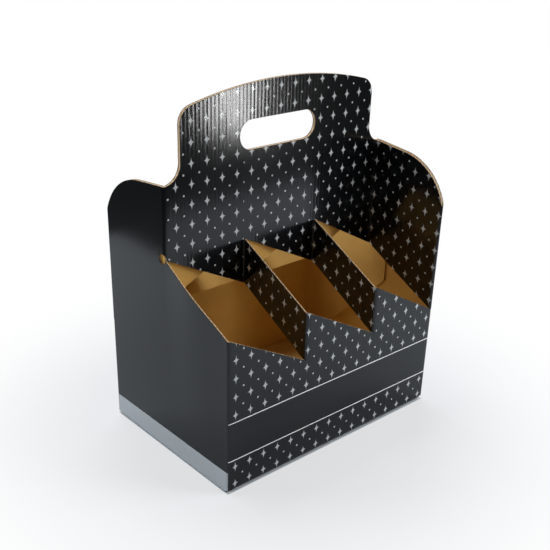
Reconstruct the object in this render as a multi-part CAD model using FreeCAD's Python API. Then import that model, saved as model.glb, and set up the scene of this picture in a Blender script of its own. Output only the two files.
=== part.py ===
import FreeCAD, Part
import math
import os

# Six-cell bottle carrier, folded and glued from one die-cut sheet of fine-flute corrugated board.
# Millimetres. +Z up, X across the three bays, -Y is the front. The origin is on the floor, under the
# middle of the handle. The board is printed on its outer face and bare kraft on its inner face.
#
# How the sheet runs: a zigzag cut in each half of the sheet parts it into a lower run (end panel, front
# panel) and an upper run (handle ply, wing). Between the cuts stay the straps, which tie the handle to
# the front panel and part the cells. The rear half is the same, turned half a turn about Z, and the two
# handle plies are glued back to back. The right-hand end carries the glued joint that closes the ring.

# ---- driving sizes -------------------------------------------------------------------------------
board = 1.8             # caliper of the board
crease = 0.5            # inside radius of a fold
bays = 3                # cells along each side of the handle
bay_pitch = 80.0        # fold to fold along the front
depth = 162.0           # outside, front to rear

wall_height = 96.5      # lowest point of the front panel, at the right end of each bay
strap_fall = 41.8       # fall of the cut across one bay
end_fall = 38.9         # fall of the cut along half an end panel

shoulder_edge_rise = 17.2   # from the cut at the handle up to the top of the shoulder's side fold
shoulder_radius = 54.4      # the shoulder's rounded corner
shoulder_kink = 15.0        # the arc's centre lies this far below the top of the side fold
shoulder_slope = 3.0        # rise of the shoulder from the arc's crown to the handle

neck_height = 69.1      # from the shoulder to the handle's apex
neck_inset = 17.0       # from the end's outside to the neck
neck_fillet = 16.0      # concave, where the neck leaves the shoulder
arch_radius = 384.0     # the handle's top edge
arch_corner = 14.0      # where the top edge meets the neck
hole_width = 82.0       # hand hole, round-ended
hole_height = 24.4
hole_drop = 41.7        # from the apex to the hole's middle
hole_offset = -4.6      # the hole lies this much off the handle's middle

relief_radius = 4.3     # round relief punched where the cut starts, beside the handle's fold
relief_back = 2.0       # its centre lies this far behind the handle's middle plane
relief_lift = 1.0       # and this far above the start of the cut

lap_reach = 23.0        # the glued lap passes the handle's middle plane by this much
lap_front = 105.0       # height at which the lap's upright edge turns into its slanting lower one
lap_fall = 5.0          # its top edge falls this far below the shoulder
joggle = 7.0            # length over which the wing steps down off the lap

end_flap = 62.0         # bottom flap of an end panel
tongue_rise = 9.6       # the locking tongue's free edge stands this high in an empty carrier
gap = 1.0               # between a bottom flap's cut edge and the next panel

# ---- worked out ----------------------------------------------------------------------------------
half_w = bays * bay_pitch / 2.0
half_d = depth / 2.0
bend_out = board + crease
cut_corner = wall_height + strap_fall
cut_handle = cut_corner + end_fall
shoulder_edge = cut_handle + shoulder_edge_rise
shoulder_top = shoulder_edge - shoulder_kink + shoulder_radius + shoulder_slope
handle_top = shoulder_top + neck_height


def at(view, a, b, c=0.0):
    """The point (a, b) of a view, c along the view's depth: plan is X-Y, front is X-Z, side is Y-Z."""
    places = {"plan": (a, b, c), "front": (a, c, b), "side": (c, a, b)}
    return FreeCAD.Vector(*places[view])


def face(view, start, steps):
    """A flat face. A step is a point, or four numbers: an arc by way of a point to its end."""
    edges = []
    here = at(view, *start)
    for step in steps + [start]:
        end = at(view, *step[-2:])
        if len(step) == 4:
            edges.append(Part.Arc(here, at(view, *step[:2]), end).toShape())
        else:
            edges.append(Part.makeLine(here, end))
        here = end
    return Part.Face(Part.Wire(edges))


def slab(view, low, high, start, steps):
    """That face, given thickness from low to high along the view's depth."""
    solid = face(view, start, steps).extrude(at(view, 0.0, 0.0, high - low))
    solid.translate(at(view, 0.0, 0.0, low))
    return solid


def bend(view, low, high, centre, first):
    """A right-angle fold of the board: a quarter ring about its centre, from the angle first on."""
    def ring(radius, degrees):
        angle = math.radians(degrees)
        return (centre[0] + radius * math.cos(angle), centre[1] + radius * math.sin(angle))

    out_arc = ring(bend_out, first + 45) + ring(bend_out, first + 90)
    in_arc = ring(crease, first + 45) + ring(crease, first)
    return slab(view, low, high, ring(bend_out, first), [out_arc, ring(crease, first + 90), in_arc])


def turned(shape):
    """The same shape in the other half of the carrier, half a turn about Z."""
    copy = shape.copy()
    copy.rotate(FreeCAD.Vector(0, 0, 0), FreeCAD.Vector(0, 0, 1), 180)
    return copy


def fold_lines():
    """X of the folds between the bays."""
    return [k * bay_pitch - half_w for k in range(1, bays)]


def shoulder_steps(side):
    """Side view of a shoulder from the handle's fold outwards: a tangent slope, then the round corner.

    side is 1 for the rear shoulder and -1 for the front one. The arc's centre is set so that the arc
    ends on the side fold."""
    centre_y = half_d - math.sqrt(shoulder_radius ** 2 - shoulder_kink ** 2)
    centre_z = shoulder_edge - shoulder_kink
    run = bend_out - centre_y
    rise = shoulder_top - centre_z
    touch = math.atan2(rise, run) - math.acos(shoulder_radius / math.hypot(run, rise))
    end = math.asin(shoulder_kink / shoulder_radius)

    def on_arc(angle):
        y = centre_y + shoulder_radius * math.cos(angle)
        return (side * y, centre_z + shoulder_radius * math.sin(angle))

    fold_line = (side * bend_out, shoulder_top)
    return [fold_line, on_arc(touch), on_arc((touch + end) / 2) + on_arc(end)]


def front_panel(left):
    """The front, with a notched top edge: each bay falls to the next fold, where a strap stands up."""
    foot = board + bend_out
    start = (left + bend_out, foot)
    steps = [(left + bend_out, cut_corner)]
    for x in fold_lines():
        steps += [(x, wall_height), (x + bend_out, wall_height), (x + bend_out, cut_corner)]
    steps += [(half_w - bend_out, wall_height), (half_w - bend_out, foot)]
    panel = slab("front", -half_d, -half_d + board, start, steps)
    left_fold = bend("plan", bend_out, cut_corner, (left + bend_out, -half_d + bend_out), 180)
    right_fold = bend("plan", bend_out, wall_height, (half_w - bend_out, -half_d + bend_out), 270)
    return [panel, left_fold, right_fold]


def strap(x):
    """A strap from the handle ply down to the front panel: folded forward at the handle, and folded
    across at the front. Both its edges are parts of the zigzag cuts."""
    front = -half_d + bend_out
    rear = -board - crease
    steps = [(front, cut_corner), (rear, cut_handle), (rear, cut_corner)]
    web = slab("side", x, x + board, (front, wall_height), steps)
    front_fold = bend("plan", wall_height, cut_corner, (x + bend_out, front), 180)
    rear_fold = bend("plan", cut_corner, cut_handle, (x - crease, rear), 0)
    return [web, front_fold, rear_fold]


def handle_outline(left_foot, right_foot):
    """The handle's upper outline from its left fold to its right one: hollow fillets that end at the
    folds, a straight neck, rounded corners and a long arch."""
    neck = half_w - neck_inset
    arch_z = handle_top - arch_radius
    corner_x = neck - arch_corner
    corner_z = arch_z + math.sqrt((arch_radius - arch_corner) ** 2 - corner_x ** 2)
    lean = math.atan2(corner_x, corner_z - arch_z)
    touch = (arch_radius * math.sin(lean), arch_z + arch_radius * math.cos(lean))
    middle = (math.pi / 2 - lean) / 2
    bulge = (corner_x + arch_corner * math.cos(middle), corner_z + arch_corner * math.sin(middle))

    def mirrored(point):
        return (-point[0], point[1])

    def hollow(foot):
        """The fillet's points beside a foot on the right: its middle and its top, on the neck."""
        sweep = math.acos(1 - (foot - neck) / neck_fillet)
        root_z = shoulder_top + neck_fillet * math.sin(sweep)
        dip = (neck + neck_fillet * (1 - math.cos(sweep / 2)), root_z - neck_fillet * math.sin(sweep / 2))
        return dip, (neck, root_z)

    left_dip, left_root = hollow(-left_foot)
    right_dip, right_root = hollow(right_foot)
    return [
        (left_foot, shoulder_top), mirrored(left_dip) + mirrored(left_root), (-neck, corner_z),
        mirrored(bulge) + mirrored(touch), (0.0, handle_top) + touch, bulge + (neck, corner_z),
        right_root, right_dip + (right_foot, shoulder_top),
    ]


def hand_hole():
    """A round-ended hole through both handle plies."""
    r = hole_height / 2
    z = handle_top - hole_drop
    a = hole_offset - hole_width / 2 + r
    b = hole_offset + hole_width / 2 - r
    steps = [(b, z - r), (b + r, z, b, z + r), (a, z + r)]
    straight = slab("front", -3 * board, 3 * board, (a, z - r), steps)
    round_end = Part.makeCylinder(r, 6 * board, at("front", a, z, -3 * board), FreeCAD.Vector(0, 1, 0))
    return straight.fuse(round_end)


def relief(left):
    """The round relief, punched through the end panel at left and through the fold beside it."""
    centre = at("side", relief_back, cut_handle + relief_lift, left)
    return Part.makeCylinder(relief_radius, board, centre, FreeCAD.Vector(1, 0, 0))


def handle_ply(left, right):
    """One ply of the handle, from its fold at the left end to the wing's fold. Its lower edge falls
    across each bay and steps up again beyond each strap."""
    left_foot = left + bend_out
    right_foot = right - crease
    steps = []
    for x in reversed(fold_lines()):
        steps += [(x + board, cut_handle), (x - crease, cut_handle), (x - crease, cut_corner)]
    steps += [(left_foot, cut_handle)] + handle_outline(left_foot, right_foot)
    ply = slab("front", -board, 0.0, (right_foot, cut_corner), steps)
    left_fold = bend("plan", cut_handle, shoulder_top, (left_foot, bend_out - board), 180)
    right_fold = bend("plan", cut_corner, shoulder_top, (right_foot, -board - crease), 0)
    return [ply, left_fold.cut(relief(left)), right_fold]


def wing(right):
    """The wing from the handle's fold forward to the side fold, inside the end's outer ply. right is
    its printed face at the handle; past the lap it steps out against the end."""
    rear = -board - crease
    step_start = -lap_reach - 2 * gap
    step_end = step_start - joggle
    inner = half_w - 2 * board
    steps = [
        (right, step_start), (inner, step_end), (inner, -half_d), (inner + board, -half_d),
        (inner + board, step_end), (right + board, step_start), (right + board, rear),
    ]
    run = slab("plan", wall_height, shoulder_top, (right, rear), steps)
    steps = shoulder_steps(-1) + [(-half_d, wall_height), (rear, cut_corner)]
    return run.common(slab("side", right, half_w, (0.0, shoulder_top), steps))


def side_fold_waste():
    """What the half-round side fold leaves of a square edge: the wing and the end's outer ply turn
    back on each other there, through half a turn."""
    height = shoulder_top - wall_height
    corner = FreeCAD.Vector(half_w - 2 * board, -half_d, wall_height)
    block = Part.makeBox(2 * board, board, height, corner)
    axis = FreeCAD.Vector(half_w - board, -half_d + board, wall_height)
    return block.cut(Part.makeCylinder(board, height, axis))


def left_end():
    """The left end panel. Its front half ends at the cut; its rear half rises to the shoulder. The
    relief is punched where the two part."""
    front = -half_d + bend_out
    fold = bend_out - board
    steps = [(front, cut_corner), (-board, cut_handle), (fold, cut_handle), (fold, shoulder_top)]
    steps += shoulder_steps(1)
    steps += [(half_d, wall_height), (half_d - bend_out, wall_height), (half_d - bend_out, bend_out)]
    panel = slab("side", -half_w, -half_w + board, (front, bend_out), steps)
    return panel.cut(relief(-half_w))


def right_end():
    """The right end's outer ply, from the front folds back to a plain edge over the rear corner."""
    front = -half_d + bend_out
    steps = [(half_d, bend_out), (half_d, cut_corner), (board, cut_handle), (board, shoulder_top)]
    steps += shoulder_steps(-1) + [(-half_d, wall_height), (front, wall_height)]
    return slab("side", half_w - board, half_w, (front, bend_out), steps)


def glued_lap():
    """The sheet's other end, glued inside the right end. It is drawn as a left end of the rear half:
    it starts at the corner fold, passes the handle's plane and ends in an upright edge, with its
    lower side cut on the slant to clear the bottom flaps."""
    front = -half_d + bend_out
    fold = bend_out - board
    steps = [
        (front, cut_corner), (-board, cut_handle), (fold, cut_handle), (fold, shoulder_top),
        (lap_reach, shoulder_top - lap_fall), (lap_reach, lap_front),
    ]
    panel = slab("side", -half_w + board, -half_w + 2 * board, (front, bend_out), steps)
    return panel.cut(relief(-half_w + board))


def bottom_half():
    """Half of the locking bottom: the left end's flap under the front panel's flap. The front flap
    stops at the middle on the left, and on the right its tongue passes over the rear flap."""
    side = half_d - bend_out - gap
    root = -half_w + bend_out
    tip = -half_w + end_flap
    end_fold = bend("front", -side, side, (root, bend_out), 180)
    steps = [(tip, -side), (tip, side - (tip - root)), (root, side)]
    end_flat = slab("plan", 0.0, board, (root, -side), steps)

    inside = half_w - 2 * board - gap
    hinge = -half_d + bend_out
    front_fold = bend("side", -inside, inside, (hinge, board + bend_out), 180)
    short = Part.makeBox(inside - gap / 2, -gap - hinge, board, FreeCAD.Vector(-inside, hinge, board))
    reach = half_d - board - gap
    steps = [(reach, tongue_rise - board), (reach, tongue_rise), (hinge, 2 * board)]
    tongue = slab("side", gap / 2, inside, (hinge, board), steps)
    return [end_fold, end_flat, front_fold, short, tongue]


def half_sheet(left, right):
    """One half of the sheet. left and right are where it turns at its two ends."""
    pieces = front_panel(left) + handle_ply(left, right) + bottom_half()
    for x in fold_lines():
        pieces += strap(x)
    pieces.append(wing(right))
    return pieces


def carrier():
    """Both halves and the two ends as one folded sheet."""
    front_half = half_sheet(-half_w, half_w - 3 * board)
    rear_half = half_sheet(-half_w + board, half_w - 2 * board) + [glued_lap()]
    pieces = front_half + [turned(piece) for piece in rear_half] + [left_end(), right_end()]
    sheet = pieces[0].multiFuse(pieces[1:])
    waste = [hand_hole(), side_fold_waste(), turned(side_fold_waste())]
    return sheet.cut(waste).removeSplitter()


def main():
    os.makedirs("parts", exist_ok=True)
    sheet = carrier()
    solids = sheet.Solids
    if len(solids) != 1 or not sheet.isValid():
        raise ValueError("the folded sheet is not one sound solid: %d solids" % len(solids))
    box = sheet.BoundBox
    print("carrier_board: %.1f x %.1f x %.1f mm, %.1f cm3, %d faces"
          % (box.XLength, box.YLength, box.ZLength, sheet.Volume / 1000.0, len(sheet.Faces)))
    solids[0].exportStep("parts/carrier_board.step")


main()
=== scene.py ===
"""Looks for the folded bottle carrier: one sheet of printed corrugated board, fold by fold.

Lengths are in millimetres and become metres as they reach the mesh or the settings panel. Only the
stage, the lamps and the camera are placed in metres."""

import math
from types import SimpleNamespace

import bpy
import numpy as np
from mathutils import Matrix, Vector


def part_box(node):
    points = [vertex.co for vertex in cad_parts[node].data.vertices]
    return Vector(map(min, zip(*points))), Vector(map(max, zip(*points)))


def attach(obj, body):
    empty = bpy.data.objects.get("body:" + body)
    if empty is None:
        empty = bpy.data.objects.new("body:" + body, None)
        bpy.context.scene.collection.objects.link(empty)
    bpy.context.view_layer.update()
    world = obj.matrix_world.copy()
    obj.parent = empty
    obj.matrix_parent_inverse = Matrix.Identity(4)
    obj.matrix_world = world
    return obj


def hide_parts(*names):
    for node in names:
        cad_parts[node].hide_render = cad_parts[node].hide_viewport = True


bl_info = {
    "name": "Bottle carrier board",
    "version": (1, 0, 0),
    "blender": (4, 5, 0),
    "location": "3D View > Sidebar > Carrier",
    "description": "Folds, prints and stages a corrugated bottle carrier",
    "category": "Object",
}

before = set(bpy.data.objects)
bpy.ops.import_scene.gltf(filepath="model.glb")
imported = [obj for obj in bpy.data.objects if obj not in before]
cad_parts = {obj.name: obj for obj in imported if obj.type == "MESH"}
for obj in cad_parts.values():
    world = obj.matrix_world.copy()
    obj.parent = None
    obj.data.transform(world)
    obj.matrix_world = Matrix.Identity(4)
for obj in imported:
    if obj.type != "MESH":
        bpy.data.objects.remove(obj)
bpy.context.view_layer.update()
HIGH = np.array(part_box("carrier_board")[1]) * 1000.0
BODY = "root"
MM = 0.001

# how the board is divided into patches and quads
PLAIN, PATTERN, KRAFT, RAW = range(4)  # places in the piece's list of materials
HALF_RUN = 600.0  # from one half of the sheet to the other, along the flat sheet
NEAR = 1e-6  # stations closer than this are one
DECIMALS = 6  # kept of a station
WELD_CELLS = 200.0  # in a millimetre; corners in one cell are one
WELD_SHIFT = 0.137  # of a cell, which keeps round sizes off the cells' sides
FOLD_STEPS = 6  # quads round a quarter turn
SPLIT = np.repeat([PLAIN, PATTERN], FOLD_STEPS // 2)  # the print changes halfway round a corner
ARC_STATIONS, RELIEF_STATIONS = 9, 15
STEEP_FROM = 62.0  # degrees of the shoulder's arc past which stations close up
SLANT_STRETCH = 1.5  # rows under a slanting cut are this much taller than the mesh step
END_FLAP_ROWS, SHORT_FLAP_ROWS, TONGUE_ROWS = 14, 10, 20
ROWS_UNDER_HOLE, ROWS_OVER_HOLE = 6, 10
STRAP_STAYS = 8.0  # the last run of a strap that a parted handle ply doesn't move
SHARP_ANGLE = 35.0  # degrees between two faces that make a hard edge
DOWN = np.array([0.0, 0.0, -1.0])

# print and paper; the scales are cells in a metre of the flat sheet, along it and up
SMOOTH = {"interpolation_type": "SMOOTHSTEP"}
PRINT_BLUR, DOT_BLUR = 0.1, 0.12  # half the width over which a printed edge fades
STAR_SOFT, STAR_FULL = 1.08, 0.94  # where a star's edge starts, and where its ink is full
STRIP_FOOT = -2.5  # the strip ends just round the bottom fold
PATTERN_ROUGH, TINT_ROUGH, ROUGH_SPAN = 0.12, 0.09, 0.04  # the varnish at its smoothest, and more
FLUTE_SCALE = (330.0, 16.0, 1.0)  # stretches of one flute, 3 mm wide and 60 mm tall
SWAY_SCALE = (95.0, 30.0, 1.0)  # the liner's own waves, 10 by 30 mm
SWAY_DEPTH = 3.5  # of those waves, against the flutes' depth
FIBRE_SCALE = (2600.0, 420.0, 1.0)  # upright fibres, 0.4 by 2.4 mm
EDGE_MEDIUM = (0.34, 0.2)  # from the fluted paper's middle: where it ends, and where it is full
EDGE_LINER = (0.36, 0.26)  # the same, from either face of the board
EDGE_BARE = (0.5, 0.75)  # from the printed face: where the pressed print starts to end, and ends
MEDIUM_INSET = 0.4  # of the fluted paper's middle from either face, at a flute tip
BOARD_IOR = 1.5

# stage, in metres and watts
FLOORS = (
    # name, surface, near left corner, far right corner, height, colour
    ("floor", "card_table_top_matt_white", (-0.37, -0.5), (0.6, 0.48), -0.0001, "d0d8df"),
    ("studio_floor", "studio_floor_grey_paint", (-3.0, -3.0), (3.0, 3.0), -0.75, "c4c9ce"),
)
SHADOW_NEAR, SHADOW_FAR = 0.14, 0.34  # from the carrier's middle, where its shadow fades away
SHADOW_WHITE = 0.6  # share of plain white in the floor beside the carrier
WORLD_LIGHT = 0.05
SOFTBOXES = (
    # name, place, aimed at, width, height, watts
    ("low_strip_light", (0.51, -0.70, 0.19), (-0.05, 0.0, 0.19), 0.05, 0.3, 1.2),
    ("key_softbox", (0.93, -0.93, 1.06), (0.0, 0.0, 0.14), 0.8, 0.8, 15.5),
    ("left_softbox", (-1.57, 0.0, 0.47), (0.0, 0.0, 0.14), 0.8, 0.8, 4.0),
    ("rear_left_softbox", (-1.11, 1.11, 0.47), (0.0, 0.0, 0.14), 0.8, 0.8, 13.5),
    ("rear_right_softbox", (1.11, 1.11, 0.47), (0.0, 0.0, 0.14), 0.8, 0.8, 13.0),
    ("rear_top_softbox", (0.0, 0.75, 1.55), (0.0, 0.0, 0.14), 0.8, 0.8, 14.0),
)
CAMERA_PLACE = (-0.48463, -0.53463, 0.44479)
CAMERA_FACING = (0.59864, 0.66149, -0.45173)
CAMERA_ROLL = 1.78  # degrees
CAMERA_LENS, CAMERA_SENSOR = 58.225, 36.0  # millimetres
CAMERA_SHIFT = 0.1


# ---------------------------------------------------------------------------------------- settings
def linear(code):
    """An sRGB hex colour as linear RGBA."""
    values = [int(code[n:n + 2], 16) / 255.0 for n in (0, 2, 4)]
    return (*[v / 12.92 if v <= 0.04045 else ((v + 0.055) / 1.055) ** 2.4 for v in values], 1.0)


def length(name, description, default):
    """A setting that is a length, with its default in millimetres."""
    return bpy.props.FloatProperty(
        name=name, description=description, default=default * MM, precision=5, unit="LENGTH")


def colour(name, description, code):
    """A setting that is a colour, with its default as sRGB hex."""
    return bpy.props.FloatVectorProperty(
        name=name, description=description, default=linear(code), size=4, min=0.0, max=1.0,
        subtype="COLOR")


class BoardSizes(bpy.types.PropertyGroup):
    """Sizes of the folded sheet, named as the die maker would."""

    caliper: length("Caliper", "Thickness of the board", 1.8)
    glue_line: length("Glue line", "Gap left between two plies glued face to face", 0.12)
    crease: length("Crease", "Inside radius of a fold", 0.5)
    bays: bpy.props.IntProperty(name="Bays", description="Cells along each side", default=3, min=1)
    wall: length("Wall", "Lowest point of the front panel's notched edge", 96.5)
    strap_fall: length("Strap fall", "Fall of the cut across one bay", 41.8)
    end_fall: length("End fall", "Fall of the cut along half an end panel", 38.9)
    shoulder_edge_rise: length(
        "Shoulder edge", "From the cut at the handle to the top of the side fold", 17.2)
    shoulder_radius: length("Shoulder radius", "Rounded corner of a shoulder", 54.4)
    shoulder_kink: length(
        "Shoulder kink", "Depth of the arc's centre below the side fold's top", 15.0)
    shoulder_slope: length("Shoulder slope", "Rise of the shoulder from the arc to the handle", 3.0)
    neck_inset: length("Neck inset", "From the end's outside to the neck", 17.0)
    neck_fillet: length("Neck fillet", "Hollow where the neck leaves the shoulder", 16.0)
    arch_radius: length("Arch", "Radius of the top edge", 384.0)
    arch_corner: length("Arch corner", "Where the top edge meets the neck", 14.0)
    hole_width: length("Hole width", "Hand hole, end to end", 82.0)
    hole_height: length("Hole height", "Hand hole, top to bottom", 24.4)
    hole_drop: length("Hole drop", "From the handle's apex to the hole's middle", 41.7)
    hole_offset: length("Hole offset", "The hole's middle, off the handle's middle", -4.6)
    relief: length("Relief", "Radius of the round relief where a cut starts", 4.3)
    relief_back: length("Relief back", "Its centre, behind the handle's middle plane", 2.0)
    relief_lift: length("Relief lift", "Its centre, above the start of the cut", 1.0)
    lap_reach: length("Lap reach", "How far the glued lap passes the middle plane", 23.0)
    lap_front: length("Lap front", "Height where the lap's edge turns on the slant", 105.0)
    lap_fall: length("Lap fall", "Fall of the lap's top edge below the shoulder", 5.0)
    end_flap: length("End flap", "Bottom flap of an end", 62.0)
    tongue_rise: length("Tongue rise", "Height of the bottom tongue's free edge", 9.6)
    end_bow: length("End bow", "How far an end panel's open side bows outwards", 1.7)
    ply_parting: length(
        "Ply parting", "How far a handle ply parts from the other one at its lowest", 3.6)
    gap: length("Gap", "Between a flap's edge and the next panel", 1.0)
    step: length("Mesh step", "Widest quad on a flat run", 4.0)


class BoardFinish(bpy.types.PropertyGroup):
    """Print and paper."""

    flute_pitch: length("Flute pitch", "Flute tip to flute tip", 3.7)
    flute_depth: length("Flute depth", "How far the liner sinks between flutes", 0.012)
    end_flute_depth: length("End flute depth", "The same under the full tint of the ends", 0.006)
    motif_across: length("Motif across", "Column to column", 15.0)
    motif_up: length("Motif up", "Row to row", 16.2)
    star_width: length("Star width", "Four-pointed star", 6.8)
    star_height: length("Star height", "Four-pointed star", 10.4)
    fold_margin: length("Fold margin", "Kept free of the pattern beside a fold", 3.2)
    dot_size: length("Dot", "Dot amid four stars", 1.7)
    band_low: length("Band low", "Lower line of the plain band", 30.8)
    band_high: length("Band high", "Upper line of the plain band", 66.2)
    line_width: length("Line", "Width of the band's two lines", 0.9)
    strip_top: length("Strip", "Top of the end panels' grey strip", 20.3)
    ink_dark: colour("Ink, dark", "Black print where it lies thick", "07080a")
    ink_light: colour("Ink, light", "Black print where it lies thin", "0b0c0e")
    motif_colour: colour("Motif", "Stars and dots", "c2c6c8")
    line_colour: colour("Lines", "The plain band's two lines", "f8f9f8")
    strip_colour: colour("Strip colour", "The end panels' strip", "a6adb2")
    kraft_dark: colour("Kraft, dark", "Bare liner", "c49b50")
    kraft_light: colour("Kraft, light", "Bare liner", "d6ad5d")
    kraft_speck: colour("Kraft fibre", "Long fibres in the bare liner", "aa8040")
    # painted shade: this colour stands for the shade inside the open hollows between liners and
    # flutes
    edge_hollow_shade: colour("Edge hollow", "Cut edge between the liners and the flutes", "8a6a48")
    edge_paper: colour("Edge paper", "Cut paper of the liners and the flutes", "ecd2ae")
    edge_print: colour("Edge print", "Print pressed over the cut edge", "1f1b18")


def settings(group):
    """A settings group as plain values: lengths in millimetres, colours as tuples, counts as is."""
    def plain(value):
        if isinstance(value, float):
            return round(value / MM, 4)
        return value if isinstance(value, int) else tuple(value)

    return SimpleNamespace(
        **{name: plain(getattr(group, name)) for name in type(group).__annotations__})


def print_and_paper():
    """The board's finish, as plain values."""
    return settings(bpy.context.scene.carrier_finish)


def sizes():
    """The board's sizes with what follows from them and from the CAD part's box."""
    k = settings(bpy.context.scene.carrier_board_sizes)
    k.half_w, k.half_d, k.top = (float(value) for value in HIGH)
    k.pitch = 2.0 * k.half_w / k.bays
    k.bend_out = k.caliper + k.crease
    k.ply = k.caliper - k.glue_line
    k.corner = k.wall + k.strap_fall
    k.cut = k.corner + k.end_fall
    k.edge = k.cut + k.shoulder_edge_rise
    k.shoulder = k.edge - k.shoulder_kink + k.shoulder_radius + k.shoulder_slope
    k.shoulder_centre = k.half_d - math.sqrt(k.shoulder_radius ** 2 - k.shoulder_kink ** 2)
    k.hole_z = k.top - k.hole_drop
    k.neck = k.half_w - k.neck_inset
    k.foot = k.caliper + k.bend_out
    k.inside = k.half_w - 2.0 * k.caliper - k.gap
    k.rows_wall = math.ceil((k.wall - k.bend_out) / k.step)
    k.rows_notch = math.ceil((k.cut - k.wall) / SLANT_STRETCH / k.step)
    k.rows_shoulder = math.ceil((k.shoulder - k.cut) / k.step)
    return k


# ------------------------------------------------------------------------------------ sheet builder
def grid(*parts):
    """Arrays brought to one shape and stacked as the coordinates of its points."""
    return np.stack(np.broadcast_arrays(*parts), axis=-1)


class Sheet:
    """Gathers patches of the printed face and turns them into one closed board.

    A patch is a grid of points on the printed face with the unit normal of that face at each. The
    bare face is the same grid moved inwards by the board's thickness, and the raw edge is the strip
    between the two along every border that no other patch continues. While settle is set, it gives
    the soft bend that is added to each patch."""

    def __init__(self, thickness):
        self.thickness = thickness
        self.points, self.normals, self.flat, self.quads, self.inks = [], [], [], [], []
        self.count = 0
        self.settle = None

    def add(self, points, normals, flat, ink):
        """points, normals: columns x rows x 3. flat: columns x rows x 2, the place on the flat
        sheet. ink: the printed face's material, one or one for each gap between two columns."""
        columns, rows = points.shape[:2]
        index = self.count + np.arange(columns * rows).reshape(columns, rows)
        quads = np.stack([index[:-1, :-1], index[1:, :-1], index[1:, 1:], index[:-1, 1:]], axis=-1)
        self.normals.append(np.broadcast_to(normals, points.shape).reshape(-1, 3))
        points = points.reshape(-1, 3)
        self.points.append(points if self.settle is None else points + self.settle(points))
        self.flat.append(flat.reshape(-1, 2))
        self.quads.append(quads.reshape(-1, 4))
        self.inks.append(np.repeat(np.broadcast_to(ink, columns - 1), rows - 1))
        self.count += columns * rows

    def upright(self, plan, facing, low, high, rows, run, ink):
        """An upright patch over a line in plan: a column at each of its points, rows evenly from
        the low outline to the high one. facing is the printed face's direction in plan, and run
        the place along the flat sheet, where the height is the place across it."""
        low = np.broadcast_to(low, run.shape)[:, None]
        high = np.broadcast_to(high, run.shape)[:, None]
        heights = low + (high - low) * np.linspace(0.0, 1.0, rows + 1)
        facing = np.broadcast_to(facing, plan.shape)
        self.add(grid(plan[:, :1], plan[:, 1:], heights),
                 grid(facing[:, :1], facing[:, 1:], np.zeros(heights.shape)),
                 grid(run[:, None], heights), ink)

    def turn(self):
        """Half a turn about Z for everything gathered so far."""
        spin = np.array([-1.0, -1.0, 1.0])
        self.points = [p * spin for p in self.points]
        self.normals = [n * spin for n in self.normals]

    def arrays(self):
        """Vertices, faces, the flat-sheet place of each face corner, and the material of each face.
        Corners that fall together are one vertex, and a quad with a pinched side is a triangle."""
        points = np.concatenate(self.points)
        flat = np.concatenate(self.flat)
        quads = np.concatenate(self.quads)
        inks = np.concatenate(self.inks)
        cells = np.round(points * WELD_CELLS + WELD_SHIFT).astype(np.int64)
        first, merged = np.unique(cells, axis=0, return_index=True, return_inverse=True)[1:]
        merged = merged.reshape(-1)
        outer = points[first]
        inner = outer - np.concatenate(self.normals)[first] * self.thickness
        total = len(outer)

        corners = merged[quads]
        same = corners == np.roll(corners, -1, axis=1)
        pinches = same.sum(axis=1)
        groups = [(quads[pinches == 0], inks[pinches == 0])]
        for side in range(4):
            pinched = same[:, side] & (pinches == 1)
            keep = [(side + n) % 4 for n in (1, 2, 3)]
            groups.append((quads[pinched][:, keep], inks[pinched]))
        parts = [(merged[group], flat[group], ink) for group, ink in groups]
        parts += [(face[:, ::-1] + total, place[:, ::-1], np.full(len(face), KRAFT))
                  for face, place, _ in parts]

        border = np.concatenate([grid(group, np.roll(group, -1, axis=1)).reshape(-1, 2)
                                 for group, _ in groups])
        ends = merged[border]
        there_and_back = ends @ np.array([[total, 1], [1, total]])
        free = ~np.isin(there_and_back[:, 0], there_and_back[:, 1])
        here, there = ends[free].T
        run_here, run_there = flat[border[free]][:, :, 0].T
        rim = np.stack([there, here, here + total, there + total], axis=-1)
        run = np.stack([run_there, run_here, run_here, run_there], axis=-1)
        depth = np.array([0.0, 0.0, self.thickness, self.thickness])
        parts.append((rim, grid(run, depth), np.full(len(rim), RAW)))
        return (np.concatenate([outer, inner]),
                [face for part in parts for face in part[0].tolist()],
                np.concatenate([part[1].reshape(-1, 2) for part in parts]),
                np.concatenate([part[2] for part in parts]))


def spread(low, high, step, marks=()):
    """Even stations from low to high, no further apart than step, through each mark between."""
    stops = sorted({low, high, *[m for m in marks if low < m < high]})
    runs = [np.linspace(a, b, max(1, math.ceil((b - a) / step)) + 1)
            for a, b in zip(stops, stops[1:])]
    return np.unique(np.round(np.concatenate(runs), DECIMALS))


def panel(sheet, start, heading, stations, low, high, rows, flat_start, ink):
    """A flat upright patch: from start, along heading, one column at each station, between two
    outlines given as heights at the stations. Its printed face is on the right of the heading."""
    plan = np.array(start) + stations[:, None] * np.array(heading)
    sheet.upright(plan, (heading[1], -heading[0]), low, high, rows, flat_start + stations, ink)


def fold(sheet, k, corner, heading, turn, low, high, rows, flat_corner, ink):
    """A quarter circle about the upright edge at corner, the sharp corner of the printed face. turn
    is 1 to the left, where the print is on the outside, and -1 to the right, where it is inside."""
    radius = k.bend_out if turn > 0 else k.crease
    heading = np.array(heading)
    left = np.array([-heading[1], heading[0]])
    centre = np.array(corner) - heading * radius + left * turn * radius
    angle = np.linspace(0.0, math.pi / 2, FOLD_STEPS + 1)
    side = -np.cos(angle)[:, None] * left * turn + np.sin(angle)[:, None] * heading
    run = flat_corner + radius * (4.0 * angle / math.pi - 1.0)
    sheet.upright(centre + radius * side, side * turn, low, high, rows, run, ink)


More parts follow.
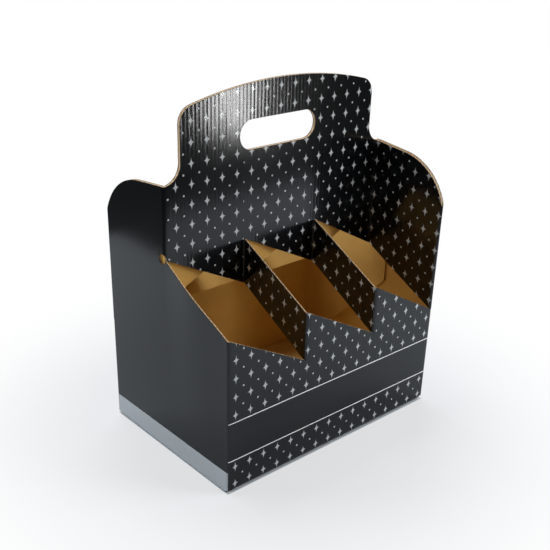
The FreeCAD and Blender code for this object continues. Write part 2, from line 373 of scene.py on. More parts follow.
def bottom_fold(sheet, k, axis, outwards, along, stations, run):
    """A quarter circle from an upright panel into its bottom flap, about a level line through axis
    that runs along the flap's hinge, with a column at each station."""
    angle = np.linspace(0.0, math.pi / 2, FOLD_STEPS + 1)
    radial = np.sin(angle)[:, None] * np.array(outwards) + np.cos(angle)[:, None] * DOWN
    points = np.array(axis) + k.bend_out * radial + stations[:, None, None] * np.array(along)
    place = grid(run[:, None], k.bend_out * (4.0 * angle / math.pi - 1.0))
    sheet.add(points, radial, place, PLAIN)


# -------------------------------------------------------------------------- outlines and soft bends
def shoulder_line(k, y):
    """Height of a shoulder's edge at distance y from the handle's plane: level over the fold, a
    tangent slope, then the round corner's circle down to the side fold."""
    base = k.edge - k.shoulder_kink
    run, rise = k.bend_out - k.shoulder_centre, k.shoulder - base
    touch = math.atan2(rise, run) - math.acos(k.shoulder_radius / math.hypot(run, rise))
    y_touch = k.shoulder_centre + k.shoulder_radius * math.cos(touch)
    z_touch = base + k.shoulder_radius * math.sin(touch)
    y = np.abs(y)
    slope = k.shoulder + (z_touch - k.shoulder) * (y - k.bend_out) / (y_touch - k.bend_out)
    height = np.sqrt(np.maximum(k.shoulder_radius ** 2 - (y - k.shoulder_centre) ** 2, 0.0))
    beyond = np.where(y < y_touch, slope, base + height)
    return np.where(y < k.bend_out, k.shoulder, beyond)


def shoulder_stations(k, marks):
    """Distances from the handle's plane to the side fold, closing up where the corner is steep."""
    last = k.half_d - k.caliper
    steepest = math.asin((last - k.shoulder_centre) / k.shoulder_radius)
    angle = np.linspace(math.radians(STEEP_FROM), steepest, ARC_STATIONS)
    arc = k.shoulder_centre + k.shoulder_radius * np.sin(angle)
    return spread(k.bend_out, last, k.step, [*marks, *arc])


def relief_half(k, distance):
    """Half the opening of the round relief at a distance along the sheet from its centre."""
    return np.sqrt(np.maximum(k.relief ** 2 - np.asarray(distance) ** 2, 0.0))


def wing_edge(k, y):
    """Height of the wing's slanting lower edge, from the strap's corner down to the side fold."""
    return k.corner + (k.wall - k.corner) * (-y - k.bend_out) / (k.half_d - k.bend_out)


def neck_line(k, x, start, stop):
    """Where the handle ply's lower part ends: beyond the neck the hollow's circle, down to the
    shoulder, and across the neck a sixth-power curve that joins the two hollows under the hole."""
    spans = (-k.neck - start, stop - k.neck)
    rise = np.where(x < 0, *[math.sqrt(s * (2 * k.neck_fillet - s)) for s in spans])
    over = np.abs(x) - k.neck - k.neck_fillet
    hollow = k.shoulder + rise - np.sqrt(np.maximum(k.neck_fillet ** 2 - over ** 2, 0.0))
    across = k.shoulder + rise * np.abs(x / k.neck) ** 6
    level = np.where(np.abs(x) <= k.neck, across, hollow)
    level[[0, -1]] = k.shoulder
    return level


def arch_line(k, x):
    """Top edge of the handle: the arch's circle, and each corner's circle from where they touch."""
    base = k.top - k.arch_radius
    corner_x = k.neck - k.arch_corner
    corner_z = base + math.sqrt((k.arch_radius - k.arch_corner) ** 2 - corner_x ** 2)
    touch = k.arch_radius * corner_x / (k.arch_radius - k.arch_corner)
    from_corner = np.maximum(k.arch_corner ** 2 - (np.abs(x) - corner_x) ** 2, 0.0)
    arch = base + np.sqrt(k.arch_radius ** 2 - x ** 2)
    return np.where(np.abs(x) > touch, corner_z + np.sqrt(from_corner), arch)


def bowed_end(k):
    """How the open side of an end panel bows outwards: a squared sine across the half below the
    cut, growing with height to the power one and a half."""
    def shift(points):
        y, z = points[:, 1], points[:, 2]
        across = np.sin(math.pi * np.clip(-y / (k.half_d - k.bend_out), 0.0, 1.0)) ** 2
        move = np.zeros(points.shape)
        move[:, 0] = -k.end_bow * across * np.clip(z / k.cut, 0.0, 1.0) ** 1.5
        return move
    return shift


def parted_ply(k):
    """How a handle ply parts from its twin below the glue: the straps draw its lower corners
    outwards, by a smooth step in height that fades away along the straps."""
    def shift(points):
        y, z = points[:, 1], points[:, 2]
        fall = np.clip((k.cut - z) / (k.cut - k.corner), 0.0, 1.0)
        along_strap = np.clip(1.0 + y / (k.half_d - STRAP_STAYS), 0.0, 1.0)
        move = np.zeros(points.shape)
        move[:, 1] = -k.ply_parting * fall ** 2 * (3.0 - 2.0 * fall) * along_strap
        return move
    return shift


# -------------------------------------------------------------------------------- ends of the sheet
def end_stations(k, front):
    """Distances across an end, from its front edge to the rear side fold: through every edge that
    a flap or a ply needs, closing up round the relief as the cosine of even steps does."""
    side = k.half_d - k.bend_out - k.gap
    marks = [side, -side, side - k.end_flap + k.bend_out, k.crease, -k.caliper]
    steps = np.linspace(0.0, math.pi, RELIEF_STATIONS)
    marks += list(k.relief_back - k.relief * np.cos(steps))
    runs = [spread(front, -k.caliper, k.step, marks),
            spread(-k.caliper, k.bend_out, k.step, marks),
            shoulder_stations(k, [*marks, k.half_d - k.bend_out])]
    return np.unique(np.round(np.concatenate(runs), DECIMALS))


def end_flap(sheet, k, stations, flat_start):
    """Bottom flap of the end at -X, flat at the carrier's foot: straight rows from its free edge to
    the fold, and one side of that edge cut at 45 degrees."""
    side = k.half_d - k.bend_out - k.gap
    root = -k.half_w + k.bend_out
    y = stations[np.abs(stations) <= side + NEAR]
    free = np.minimum(-k.half_w + k.end_flap, root + side - y)[:, None]
    x = free + (root - free) * np.linspace(0.0, 1.0, END_FLAP_ROWS + 1)
    place = grid(flat_start - y[:, None], root - x - k.bend_out)
    sheet.add(grid(x, y[:, None], 0.0), DOWN, place, PLAIN)
    bottom_fold(sheet, k, (root, 0.0, k.bend_out), (-1.0, 0.0, 0.0), (0.0, 1.0, 0.0), y,
                flat_start - y)


def end_panel(sheet, k, kind, flat_zero):
    """An end, drawn at -X with the handle's fold in front of the middle plane: three flat strips,
    up to the wall's height, up to the cut, and from the cut to the shoulder. kind is wrap for the
    left end, outer for the right end's outside ply, which stops at plain edges, and lap for the
    short ply glued inside it."""
    left = -k.half_w + (k.caliper if kind == "lap" else 0.0)
    front = -k.half_d if kind == "outer" else -k.half_d + k.bend_out
    rear_low, rear_high = k.half_d - k.bend_out, k.half_d - k.caliper
    flat_start = flat_zero - k.half_d
    y = end_stations(k, front)
    if kind == "lap":
        y = np.unique(np.append(y[y < k.lap_reach], k.lap_reach))
        rear_low = rear_high = k.lap_reach

    # the cut: a slant in front of the handle's fold, the relief round its start, then nearly level
    slant = k.cut + (k.corner - k.cut) * np.maximum((-k.caliper - y) / (-k.caliper - front), 0.0)
    if kind == "outer":
        opened, middle = np.zeros(y.shape), np.full(y.shape, k.cut)
    else:
        opened = relief_half(k, y - k.relief_back)
        level = (rear_high - y) / (rear_high - k.relief_back - k.relief)
        middle = k.cut + k.relief_lift * np.clip(level, 0.0, 1.0)
    cut_low = middle - opened
    cut_low = np.where(y < k.relief_back, np.minimum(slant, cut_low), cut_low)

    if kind == "lap":
        base = k.bend_out + (k.lap_front - k.bend_out) * (y - front) / (k.lap_reach - front)
        wall = base + (k.wall - k.bend_out) / (k.corner - k.bend_out) * (cut_low - base)
        top = k.shoulder - k.lap_fall * (y - k.crease) / (k.lap_reach - k.crease)
    else:
        base, wall = np.full(y.shape, k.bend_out), np.full(y.shape, k.wall)
        top = shoulder_line(k, y)
    upper = y >= (-k.caliper if kind == "outer" else k.crease) - NEAR
    strips = ((y <= rear_low + NEAR, base, wall, k.rows_wall),
              (y <= rear_high + NEAR, wall, cut_low, k.rows_notch),
              (upper & (y <= rear_high + NEAR), middle + opened, top, k.rows_shoulder))
    for keep, low, high, rows in strips:
        order = np.flatnonzero(keep)[::-1]
        panel(sheet, (left, 0.0), (0.0, -1.0), -y[order], low[order], high[order], rows,
              flat_start, PLAIN)
    if kind != "lap":
        end_flap(sheet, k, y[y <= rear_low + NEAR][::-1], flat_start)


# -------------------------------------------------------------------------------- half of the sheet
def front_flap(sheet, k, stations, flat_start):
    """Bottom flap of the front, in straight rows from its free edge to the fold: a level short half
    that stops at the middle, and a tongue that rises evenly over the other side's short half."""
    hinge = -k.half_d + k.bend_out
    reach = k.half_d - k.caliper - k.gap
    halves = ((-k.inside, -k.gap / 2, -k.gap, 0.0, SHORT_FLAP_ROWS),
              (k.gap / 2, k.inside, reach, k.tongue_rise - 2 * k.caliper, TONGUE_ROWS))
    for low, high, tip, rise, rows in halves:
        x = stations[(stations >= low - NEAR) & (stations <= high + NEAR)]
        share = np.linspace(1.0, 0.0, rows + 1)
        y = hinge + (tip - hinge) * share
        place = grid(flat_start + x[:, None], hinge - y - k.bend_out)
        sheet.add(grid(x[:, None], y, k.caliper + rise * share), DOWN, place, PLAIN)
        bottom_fold(sheet, k, (0.0, hinge, k.caliper + k.bend_out), (0.0, -1.0, 0.0),
                    (1.0, 0.0, 0.0), x, flat_start + x)


def front_panel(sheet, k, left, lines, flat_zero):
    """Front panel: a flat strip below the notches, a triangle for each bay with a straight slanting
    edge, and the quarter circles at its two side folds."""
    first, last = left + k.bend_out, k.half_w - k.bend_out
    start, heading, flat_start = (0.0, -k.half_d), (1.0, 0.0), flat_zero - left
    marks = [-k.inside, -k.gap / 2, k.gap / 2, k.inside, *lines, *[n + k.bend_out for n in lines]]
    x = spread(first, last, k.step, marks)
    panel(sheet, start, heading, x, k.foot, k.wall, k.rows_wall, flat_start, PATTERN)
    for low, high in zip([first, *[n + k.bend_out for n in lines]], [*lines, last]):
        run = x[(x >= low - NEAR) & (x <= high + NEAR)]
        notch = k.corner + (k.wall - k.corner) * (run - low) / (high - low)
        panel(sheet, start, heading, run, k.wall, notch, k.rows_notch, flat_start, PATTERN)
    foot = np.linspace(k.bend_out, k.foot, FOLD_STEPS + 1)
    corner = (left, -k.half_d)
    fold(sheet, k, corner, (0.0, -1.0), 1, foot, k.wall, k.rows_wall, flat_zero, SPLIT)
    fold(sheet, k, corner, (0.0, -1.0), 1, k.wall, k.corner, k.rows_notch, flat_zero, SPLIT)
    fold(sheet, k, (k.half_w, -k.half_d), heading, 1, foot[::-1], k.wall, k.rows_wall,
         flat_start + k.half_w, SPLIT[::-1])
    front_flap(sheet, k, x, flat_start)


def straps(sheet, k, lines, flat_front, flat_handle):
    """A flat strap between every two cells, slanting down from the handle ply to the front panel,
    with a quarter circle at either end."""
    rear, front = -k.caliper - k.crease, -k.half_d + k.bend_out
    stations = spread(-rear, -front, k.step)
    share = (stations + rear) / (rear - front)
    low = k.corner + (k.wall - k.corner) * share
    high = k.cut + (k.corner - k.cut) * share
    for line in lines:
        fold(sheet, k, (line, -k.caliper), (1.0, 0.0), -1, k.corner, k.cut, k.rows_notch,
             flat_handle + line, PATTERN)
        panel(sheet, (line, 0.0), (0.0, -1.0), stations, low, high, k.rows_notch,
              flat_handle + line - k.caliper, PATTERN)
        fold(sheet, k, (line, -k.half_d), (0.0, -1.0), 1, k.wall, k.corner, k.rows_notch,
             flat_front + line, PATTERN)


def handle_ply(sheet, k, left, right, lines, hole, flat_start):
    """Handle ply, flat: a piece with a straight slanting lower edge for each bay, a strip up to the
    neck, one below the hand hole and one above it, and the quarter circle at the end's fold. The
    hole is a slot with half circles at its ends."""
    start, stop = left + k.bend_out, right - k.crease
    radius = k.hole_height / 2
    round_low, round_high = hole - k.hole_width / 2 + radius, hole + k.hole_width / 2 - radius
    quarter = np.cos(np.linspace(0, math.pi / 2, ARC_STATIONS))
    marks = [*lines, *[n - k.crease for n in lines], *[n + k.caliper for n in lines]]
    marks += [-k.neck, k.neck, round_low, round_high]
    marks += [*(round_low - radius * quarter), *(round_high + radius * quarter)]
    for neck, far, sign in ((-k.neck, start, -1), (k.neck, stop, 1)):
        turn = math.acos(1 - abs(far - neck) / k.neck_fillet)
        hollow = 1 - np.cos(np.linspace(0.0, turn, ARC_STATIONS))
        marks += [*(neck + sign * k.neck_fillet * hollow)]
        marks += [*(neck - sign * k.arch_corner * (1 - quarter))]
    x = spread(start, stop, k.step, marks)

    plane, heading = (0.0, -k.caliper), (1.0, 0.0)
    bays = zip([start, *[n + k.caliper for n in lines]], [*[n - k.crease for n in lines], stop])
    for low, high in bays:
        run = x[(x >= low - NEAR) & (x <= high + NEAR)]
        bottom = k.cut + (k.corner - k.cut) * (run - low) / (high - low)
        panel(sheet, plane, heading, run, bottom, k.cut, k.rows_notch, flat_start, PATTERN)
    level = neck_line(k, x, start, stop)
    panel(sheet, plane, heading, x, k.cut, level, k.rows_shoulder, flat_start, PATTERN)
    within = np.abs(x) <= k.neck
    x, level = x[within], level[within]
    inset = np.clip(np.maximum(round_low - x, x - round_high), 0.0, radius)
    half = np.sqrt(radius ** 2 - inset ** 2)
    panel(sheet, plane, heading, x, level, k.hole_z - half, ROWS_UNDER_HOLE, flat_start, PATTERN)
    panel(sheet, plane, heading, x, k.hole_z + half, arch_line(k, x), ROWS_OVER_HOLE, flat_start,
          PATTERN)

    half_bend = k.bend_out * math.pi / 4.0
    away = k.relief_back - k.crease + half_bend * np.linspace(0.0, 2.0, FOLD_STEPS + 1)
    lift = relief_half(k, away) + np.where(away < k.relief, k.relief_lift, 0.0)
    fold(sheet, k, (left, -k.caliper), (0.0, -1.0), 1, k.cut + lift, k.shoulder, k.rows_shoulder,
         flat_start + left, SPLIT)


def wing(sheet, k, right, flat_start):
    """Wing inside a shoulder: a quarter circle from the handle ply, a sheet that eases outwards by
    a smooth step past the lap, and the half circle that turns it back on the side fold."""
    for low, high, rows in ((k.corner, k.cut, k.rows_notch), (k.cut, k.shoulder, k.rows_shoulder)):
        fold(sheet, k, (right, -k.caliper), (1.0, 0.0), -1, low, high, rows, flat_start + right,
             PATTERN)
    y = -shoulder_stations(k, [])
    ease = np.clip((-y - k.lap_reach) / (k.half_d - k.caliper - k.lap_reach), 0.0, 1.0)
    outwards = k.half_w - 2.0 * k.caliper - right
    x = right + outwards * ease * ease * (3.0 - 2.0 * ease)
    edge_run = flat_start + right - k.caliper
    for low, high, rows in ((wing_edge(k, y), k.cut, k.rows_notch),
                            (k.cut, shoulder_line(k, y), k.rows_shoulder)):
        sheet.upright(grid(x, y), (-1.0, 0.0), low, high, rows, edge_run - y, PATTERN)
    angle = np.linspace(0.0, math.pi, 2 * FOLD_STEPS + 1)
    around = grid(-np.cos(angle), -np.sin(angle))
    ring = np.array([k.half_w - k.caliper, -k.half_d + k.caliper]) + k.caliper * around
    run = edge_run + k.half_d - k.caliper + k.caliper * angle
    turned = np.where(angle < math.pi / 2, wing_edge(k, ring[:, 1]), k.wall)
    for low, high, rows in ((turned, k.cut, k.rows_notch),
                            (k.cut, shoulder_line(k, ring[:, 1]), k.rows_shoulder)):
        sheet.upright(ring, around, low, high, rows, run, np.repeat([PATTERN, PLAIN], FOLD_STEPS))


def half_sheet(sheet, k, left, right, hole, flat_zero):
    """One half of the sheet: front panel, straps, handle ply and wing. left is where the front
    panel starts, right the wing's printed face beside the handle, and hole the hand hole's
    middle."""
    lines = [n * k.pitch - k.half_w for n in range(1, k.bays)]
    flat_front = flat_zero - left
    flat_handle = flat_front - (k.half_d - k.caliper)
    front_panel(sheet, k, left, lines, flat_zero)
    straps(sheet, k, lines, flat_front, flat_handle)
    handle_ply(sheet, k, left, right, lines, hole, flat_handle)
    wing(sheet, k, right, flat_handle)


# ---------------------------------------------------------------------------------------- materials
def add(tree, kind, inputs=None, **options):
    """Adds a node. inputs maps a socket to a value, to a node, or to a (node, output) pair."""
    made = tree.nodes.new(kind)
    for name, value in options.items():
        setattr(made, name, value)
    for socket, value in (inputs or {}).items():
        if isinstance(value, bpy.types.Node):
            value = (value, 0)
        if isinstance(value, tuple) and isinstance(value[0], bpy.types.Node):
            tree.links.new(value[0].outputs[value[1]], made.inputs[socket])
        else:
            made.inputs[socket].default_value = value
    return made


def new_material(name):
    """An empty node material and its tree."""
    material = bpy.data.materials.new(name)
    material.use_nodes = True
    tree = material.node_tree
    tree.nodes.clear()
    return material, tree


def flat_place(tree):
    """The place on the flat sheet: in metres as one vector, then in millimetres as along and up."""
    place = add(tree, "ShaderNodeUVMap", uv_map="flat_sheet")
    parts = add(tree, "ShaderNodeSeparateXYZ", {0: place})
    along = add(tree, "ShaderNodeMath", {0: (parts, 0), 1: 1000.0}, operation="MULTIPLY")
    up = add(tree, "ShaderNodeMath", {0: (parts, 1), 1: 1000.0}, operation="MULTIPLY")
    return place, along, up


def board_shader(tree, tone, rough, normal):
    """Paper or print, wired to the material's output."""
    shader = add(tree, "ShaderNodeBsdfPrincipled",
                 {"Base Color": (tone, 2), "Roughness": rough, "Normal": normal, "IOR": BOARD_IOR})
    add(tree, "ShaderNodeOutputMaterial", {0: shader})


def flute_bump(tree, along, place, depth):
    """Washboard: the liner sinks between the flute tips, a sine along the sheet at the flute pitch,
    deeper along some flutes than along others, on a liner that isn't quite flat."""
    turns = 2 * math.pi / print_and_paper().flute_pitch
    phase = add(tree, "ShaderNodeMath", {0: along, 1: turns}, operation="MULTIPLY")
    wave = add(tree, "ShaderNodeMath", {0: phase}, operation="SINE")
    each = add(tree, "ShaderNodeMapping", {0: place, "Scale": FLUTE_SCALE})
    patch = add(tree, "ShaderNodeTexNoise", {"Vector": each, "Scale": 1.0, "Detail": 1.0})
    uneven = add(tree, "ShaderNodeMapRange", {"Value": (patch, 0), "From Min": 0.3,
                                              "From Max": 0.75, "To Min": 0.3, "To Max": 1.5})
    flutes = add(tree, "ShaderNodeMath", {0: wave, 1: uneven}, operation="MULTIPLY")
    slack = add(tree, "ShaderNodeMapping", {0: place, "Scale": SWAY_SCALE})
    sway = add(tree, "ShaderNodeTexNoise", {"Vector": slack, "Scale": 1.0, "Detail": 2.0})
    height = add(tree, "ShaderNodeMath", {0: (sway, 0), 1: SWAY_DEPTH, 2: flutes},
                 operation="MULTIPLY_ADD")
    return add(tree, "ShaderNodeBump", {"Height": height, "Strength": 1.0, "Distance": depth * MM})


def between(tree, up, low, high):
    """1 from one height to another, 0 outside, fading over the print's blur."""
    sides = [add(tree, "ShaderNodeMapRange",
                 {"Value": up, "From Min": edge - blur, "From Max": edge + blur}, **SMOOTH)
             for edge, blur in ((low, PRINT_BLUR), (high, -PRINT_BLUR))]
    return add(tree, "ShaderNodeMath", dict(enumerate(sides)), operation="MULTIPLY")


def star_print(tree, run, up, ink):
    """Pale print over the ink: four-pointed stars in straight rows with a dot amid four of them,
    clear of the folds and of the plain band, and that band's two ruled lines. A star is where the
    square roots of its shares across and up add to less than one."""
    look = print_and_paper()
    middle = (look.band_low + look.band_high) / 2
    rise = add(tree, "ShaderNodeMath", {0: up, 1: middle}, operation="SUBTRACT")
    folded, roots = [], []
    for place, cell, star in ((run, look.motif_across, look.star_width),
                              (rise, look.motif_up, look.star_height)):
        near = add(tree, "ShaderNodeMath", {0: place, 1: cell / 2}, operation="PINGPONG")
        rest = add(tree, "ShaderNodeMath", {0: cell / 2, 1: near}, operation="SUBTRACT")
        share = add(tree, "ShaderNodeMath", {0: rest, 1: star / 2}, operation="DIVIDE")
        roots.append(add(tree, "ShaderNodeMath", {0: share, 1: 0.5}, operation="POWER"))
        folded.append(near)
    reach = add(tree, "ShaderNodeMath", dict(enumerate(roots)), operation="ADD")
    star = add(tree, "ShaderNodeMapRange",
               {"Value": reach, "From Min": STAR_SOFT, "From Max": STAR_FULL}, **SMOOTH)
    corner = add(tree, "ShaderNodeCombineXYZ", dict(enumerate(folded)))
    away = add(tree, "ShaderNodeVectorMath", {0: corner}, operation="LENGTH")
    dot = add(tree, "ShaderNodeMapRange",
              {"Value": (away, 1), "From Min": look.dot_size / 2 + DOT_BLUR,
               "From Max": look.dot_size / 2 - DOT_BLUR}, **SMOOTH)
    motif = add(tree, "ShaderNodeMath", {0: star, 1: dot}, operation="MAXIMUM")

    band = between(tree, up, look.band_low, look.band_high)
    ground = add(tree, "ShaderNodeMath", {0: 1.0, 1: band}, operation="SUBTRACT")
    fold_away = add(tree, "ShaderNodeMath", {0: run, 1: sizes().half_w}, operation="PINGPONG")
    clear = add(tree, "ShaderNodeMapRange",
                {"Value": fold_away, "From Min": look.fold_margin,
                 "From Max": look.fold_margin + 2 * PRINT_BLUR}, **SMOOTH)
    for mask in (ground, clear):
        motif = add(tree, "ShaderNodeMath", {0: motif, 1: mask}, operation="MULTIPLY")
    ink = add(tree, "ShaderNodeMix", {"Factor": motif, 6: (ink, 2), 7: look.motif_colour},
              data_type="RGBA")
    for edge in (look.band_low, look.band_high):
        line = between(tree, up, edge - look.line_width / 2, edge + look.line_width / 2)
        ink = add(tree, "ShaderNodeMix", {"Factor": line, 6: (ink, 2), 7: look.line_colour},
                  data_type="RGBA")
    return ink


def strip_print(tree, run, up, ink):
    """Grey print over the ink: a strip along the foot of the ends, which come after the front and
    the handle's fold in each half of the flat sheet."""
    look, k = print_and_paper(), sizes()
    strip = between(tree, up, STRIP_FOOT, look.strip_top)
    on_end = add(tree, "ShaderNodeMath", {0: run, 1: 2 * k.half_w + k.half_d},
                 operation="GREATER_THAN")
    strip = add(tree, "ShaderNodeMath", {0: strip, 1: on_end}, operation="MULTIPLY")
    return add(tree, "ShaderNodeMix", {"Factor": strip, 6: (ink, 2), 7: look.strip_colour},
               data_type="RGBA")


def printed_board(name, pattern):
    """Flexo-printed black under a satin water-based varnish, on kraft liner: dark, with a soft
    sheen that the flutes break into upright bars. The ink varies over some 30 mm, and the liner's
    fibres, drawn 1 mm long to show, roughen the varnish. The full tint of the ends is glossier."""
    look = print_and_paper()
    material, tree = new_material(name)
    place, along, up = flat_place(tree)
    cloud = add(tree, "ShaderNodeTexNoise", {"Vector": place, "Scale": 35.0, "Detail": 4.0})
    ink = add(tree, "ShaderNodeMix", {"Factor": (cloud, 0), 6: look.ink_dark, 7: look.ink_light},
              data_type="RGBA")
    run = add(tree, "ShaderNodeMath", {0: along, 1: HALF_RUN}, operation="FLOORED_MODULO")
    ink = (star_print if pattern else strip_print)(tree, run, up, ink)
    smoothest = PATTERN_ROUGH if pattern else TINT_ROUGH
    depth = look.flute_depth if pattern else look.end_flute_depth
    bump = flute_bump(tree, along, place, depth)
    fibre = add(tree, "ShaderNodeTexNoise", {"Vector": place, "Scale": 900.0, "Detail": 3.0})
    skin = add(tree, "ShaderNodeBump", {"Height": (fibre, 0), "Strength": 0.25,
                                        "Distance": 0.03 * MM, "Normal": bump})
    rough = add(tree, "ShaderNodeMapRange",
                {"Value": (cloud, 0), "To Min": smoothest, "To Max": smoothest + ROUGH_SPAN})
    board_shader(tree, ink, rough, skin)
    return material


def bare_kraft():
    """Uncoated kraft liner, as the paper machine left it: brown and matt, clouded over some 20 mm,
    with long upright fibres and the flutes showing through as faint bars."""
    look = print_and_paper()
    material, tree = new_material("kraft_liner_uncoated")
    place, along, _ = flat_place(tree)
    stretch = add(tree, "ShaderNodeMapping", {0: place, "Scale": FIBRE_SCALE})
    fibre = add(tree, "ShaderNodeTexNoise",
                {"Vector": stretch, "Scale": 1.0, "Detail": 4.0, "Roughness": 0.6})
    cloud = add(tree, "ShaderNodeTexNoise", {"Vector": place, "Scale": 45.0, "Detail": 5.0})
    tone = add(tree, "ShaderNodeMix",
               {"Factor": (cloud, 0), 6: look.kraft_dark, 7: look.kraft_light}, data_type="RGBA")
    speck = add(tree, "ShaderNodeMapRange",
                {"Value": (fibre, 0), "From Min": 0.56, "From Max": 0.75}, **SMOOTH)
    tone = add(tree, "ShaderNodeMix", {"Factor": speck, 6: (tone, 2), 7: look.kraft_speck},
               data_type="RGBA")
    bump = flute_bump(tree, along, place, look.flute_depth)
    skin = add(tree, "ShaderNodeBump", {"Height": (fibre, 0), "Strength": 0.4,
                                        "Distance": 0.05 * MM, "Normal": bump})
    board_shader(tree, tone, 0.85, skin)
    return material


def raw_edge():
    """Die-cut edge of single-wall board: pale cut paper, two liners with the fluted medium waving
    between them as a sine, and painted shade in the hollows. The cutting rule pressed the black
    print over the printed liner's side, so the pale line looks thinner than the board. The second
    number of the flat place is the depth through the board here."""
    look, half = print_and_paper(), sizes().ply / 2
    material, tree = new_material("corrugated_edge_die_cut")
    _, along, depth = flat_place(tree)
    turns = 2 * math.pi / look.flute_pitch
    phase = add(tree, "ShaderNodeMath", {0: along, 1: turns}, operation="MULTIPLY")
    wave = add(tree, "ShaderNodeMath", {0: phase}, operation="SINE")
    centre = add(tree, "ShaderNodeMath", {0: wave, 1: half - MEDIUM_INSET, 2: half},
                 operation="MULTIPLY_ADD")
    off = add(tree, "ShaderNodeMath", {0: depth, 1: centre}, operation="SUBTRACT")
    off = add(tree, "ShaderNodeMath", {0: off}, operation="ABSOLUTE")
    medium = add(tree, "ShaderNodeMapRange",
                 {"Value": off, "From Min": EDGE_MEDIUM[0], "From Max": EDGE_MEDIUM[1]}, **SMOOTH)
    inwards = add(tree, "ShaderNodeMath", {0: depth, 1: half}, operation="SUBTRACT")
    inwards = add(tree, "ShaderNodeMath", {0: inwards}, operation="ABSOLUTE")
    liner = add(tree, "ShaderNodeMapRange",
                {"Value": inwards, "From Min": half - EDGE_LINER[0],
                 "From Max": half - EDGE_LINER[1]}, **SMOOTH)
    # paper is 1 on cut paper and 0 in the hollows between liners and flutes, which get the painted
    # shade colour
    paper = add(tree, "ShaderNodeMath", {0: medium, 1: liner}, operation="MAXIMUM")
    tone = add(tree, "ShaderNodeMix", {"Factor": paper, 6: look.edge_hollow_shade, 7: look.edge_paper},
               data_type="RGBA")
    bare = add(tree, "ShaderNodeMapRange",
               {"Value": depth, "From Min": EDGE_BARE[0], "From Max": EDGE_BARE[1]}, **SMOOTH)
    tone = add(tree, "ShaderNodeMix", {"Factor": bare, 6: look.edge_print, 7: (tone, 2)},
               data_type="RGBA")
    bump = add(tree, "ShaderNodeBump", {"Height": paper, "Strength": 1.0, "Distance": 0.4 * MM})
    board_shader(tree, tone, 0.9, bump)
    return material


# -------------------------------------------------------------------------------------------- stage
def floor_paint(name, code):
    """Matt paint. To the camera it is plain white, but for the carrier's shadow, which shows more
    beside the carrier, and in full under it."""
    material, tree = new_material(name)
    path = add(tree, "ShaderNodeLightPath")
    paint = add(tree, "ShaderNodeBsdfDiffuse", {"Color": linear(code)})
    white = add(tree, "ShaderNodeEmission", {"Color": (1.0, 1.0, 1.0, 1.0), "Strength": 1.0})
    place = add(tree, "ShaderNodeTexCoord")
    away = add(tree, "ShaderNodeVectorMath", {0: (place, "Object")}, operation="LENGTH")
    fade = add(tree, "ShaderNodeMapRange",
               {"Value": (away, 1), "From Min": SHADOW_NEAR, "From Max": SHADOW_FAR,
                "To Min": SHADOW_WHITE, "To Max": 1.0}, **SMOOTH)
    off = add(tree, "ShaderNodeVectorMath", {0: (place, "Object")}, operation="ABSOLUTE")
    off = add(tree, "ShaderNodeVectorMath", {0: off, 1: tuple(HIGH * MM)}, operation="DIVIDE")
    off = add(tree, "ShaderNodeSeparateXYZ", {0: off})
    off = add(tree, "ShaderNodeMath", {0: (off, 0), 1: (off, 1)}, operation="MAXIMUM")
    beside = add(tree, "ShaderNodeMath", {0: off, 1: 1.0}, operation="GREATER_THAN")
    fade = add(tree, "ShaderNodeMath", {0: fade, 1: beside}, operation="MULTIPLY")
    share = add(tree, "ShaderNodeMath", {0: (path, "Is Camera Ray"), 1: fade},
                operation="MULTIPLY")
    mixed = add(tree, "ShaderNodeMixShader", {0: share, 1: paint, 2: white})
    add(tree, "ShaderNodeOutputMaterial", {0: mixed})
    return material


def lay_floors(scene):
    """A table top, and the studio's floor far below it."""
    for name, surface, (left, near), (right, far), height, code in FLOORS:
        mesh = bpy.data.meshes.new(name)
        mesh.from_pydata([(left, near, height), (right, near, height), (right, far, height),
                          (left, far, height)], [], [[0, 1, 2, 3]])
        mesh.materials.append(floor_paint(surface, code))
        floor = bpy.data.objects.new(name, mesh)
        scene.collection.objects.link(floor)


def light_world(scene):
    """A faint even light, which the camera sees as plain white."""
    scene.world = bpy.data.worlds.new("studio")
    scene.world.use_nodes = True
    tree = scene.world.node_tree
    tree.nodes.clear()
    path = add(tree, "ShaderNodeLightPath")
    white = {"Color": (1.0, 1.0, 1.0, 1.0)}
    light = add(tree, "ShaderNodeBackground", {**white, "Strength": WORLD_LIGHT})
    seen = add(tree, "ShaderNodeBackground", {**white, "Strength": 1.0})
    mixed = add(tree, "ShaderNodeMixShader", {0: (path, "Is Camera Ray"), 1: light, 2: seen})
    add(tree, "ShaderNodeOutputWorld", {0: mixed})


def hang_softboxes(scene):
    """Rectangular lamps, each turned towards its aim."""
    for name, place, aim, width, height, power in SOFTBOXES:
        lamp = bpy.data.lights.new(name, "AREA")
        lamp.shape = "RECTANGLE"
        lamp.size, lamp.size_y, lamp.energy = width, height, power
        holder = bpy.data.objects.new(name, lamp)
        holder.location = place
        towards = Vector(aim) - Vector(place)
        holder.rotation_euler = towards.to_track_quat("-Z", "Y").to_euler()
        scene.collection.objects.link(holder)


def set_camera(scene):
    """A camera that looks along its facing, rolled a little about it."""
    lens = bpy.data.cameras.new("camera")
    lens.sensor_width = CAMERA_SENSOR
    lens.lens = CAMERA_LENS
    lens.shift_y = CAMERA_SHIFT
    lens.clip_start = 0.01
    camera = bpy.data.objects.new("camera", lens)
    facing = Vector(CAMERA_FACING).normalized()
    right = facing.cross(Vector((0.0, 0.0, 1.0))).normalized()
    up = right.cross(facing)
    turn = Matrix((right, up, -facing)).transposed().to_4x4()
    tilt = Matrix.Rotation(math.radians(CAMERA_ROLL), 4, "Z")
    camera.matrix_world = Matrix.Translation(Vector(CAMERA_PLACE)) @ turn @ tilt
    scene.collection.objects.link(camera)
    scene.camera = camera


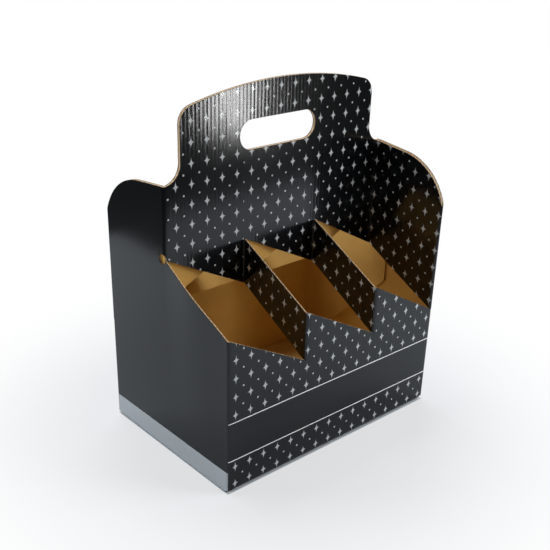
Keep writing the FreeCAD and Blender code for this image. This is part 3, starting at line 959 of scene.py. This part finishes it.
# ---------------------------------------------------------------------------------------- operators
class CARRIER_OT_fold_sheet(bpy.types.Operator):
    """Fold the whole carrier out of its one sheet of board"""

    bl_idname = "carrier.fold_sheet"
    bl_label = "Fold the sheet"

    def execute(self, context):
        k = sizes()
        sheet = Sheet(k.ply)
        # the rear half and the right end, drawn as a front and a left end and then turned
        end_panel(sheet, k, "lap", HALF_RUN)
        end_panel(sheet, k, "outer", 2 * HALF_RUN)
        sheet.settle = parted_ply(k)
        half_sheet(sheet, k, -k.half_w + k.caliper, k.half_w - 2.0 * k.caliper, -k.hole_offset,
                   HALF_RUN)
        sheet.turn()
        sheet.settle = bowed_end(k)
        end_panel(sheet, k, "wrap", 0.0)
        sheet.settle = None
        half_sheet(sheet, k, -k.half_w, k.half_w - 3.0 * k.caliper, k.hole_offset, 0.0)

        points, faces, places, owner = sheet.arrays()
        mesh = bpy.data.meshes.new("carrier_sheet")
        mesh.from_pydata((points * MM).tolist(), [], faces)
        mesh.polygons.foreach_set("material_index", owner.astype(np.int32))
        layer = mesh.uv_layers.new(name="flat_sheet")
        layer.data.foreach_set("uv", (places * MM).astype(np.float32).ravel())
        for material in (printed_board("black_print_satin_varnish_plain", False),
                         printed_board("black_print_satin_varnish_patterned", True),
                         bare_kraft(), raw_edge()):
            mesh.materials.append(material)
        mesh.shade_smooth()
        mesh.set_sharp_from_angle(angle=math.radians(SHARP_ANGLE))
        if mesh.validate():
            raise RuntimeError("the folded sheet has faces that don't hold together")
        piece = bpy.data.objects.new("carrier_sheet", mesh)
        context.scene.collection.objects.link(piece)
        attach(piece, BODY)
        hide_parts("carrier_board")
        return {"FINISHED"}


class CARRIER_OT_set_stage(bpy.types.Operator):
    """Set up the pale floor, the soft studio light and the camera"""

    bl_idname = "carrier.set_stage"
    bl_label = "Set the stage"

    def execute(self, context):
        scene = context.scene
        scene.view_settings.view_transform = "Standard"
        lay_floors(scene)
        light_world(scene)
        hang_softboxes(scene)
        set_camera(scene)
        return {"FINISHED"}


class CARRIER_PT_panel(bpy.types.Panel):
    """Sizes, finish and the two steps that build the carrier"""

    bl_idname = "CARRIER_PT_panel"
    bl_label = "Bottle carrier"
    bl_space_type = "VIEW_3D"
    bl_region_type = "UI"
    bl_category = "Carrier"

    def draw(self, context):
        for group in (context.scene.carrier_board_sizes, context.scene.carrier_finish):
            box = self.layout.box()
            for name in type(group).__annotations__:
                box.prop(group, name)
        self.layout.operator(CARRIER_OT_fold_sheet.bl_idname)
        self.layout.operator(CARRIER_OT_set_stage.bl_idname)


CLASSES = (BoardSizes, BoardFinish, CARRIER_OT_fold_sheet, CARRIER_OT_set_stage, CARRIER_PT_panel)


def register():
    for made in CLASSES:
        bpy.utils.register_class(made)
    bpy.types.Scene.carrier_board_sizes = bpy.props.PointerProperty(type=BoardSizes)
    bpy.types.Scene.carrier_finish = bpy.props.PointerProperty(type=BoardFinish)


def unregister():
    del bpy.types.Scene.carrier_finish
    del bpy.types.Scene.carrier_board_sizes
    for made in reversed(CLASSES):
        bpy.utils.unregister_class(made)


def main():
    register()
    bpy.ops.carrier.fold_sheet()
    bpy.ops.carrier.set_stage()


if __name__ == "__main__":
    main()
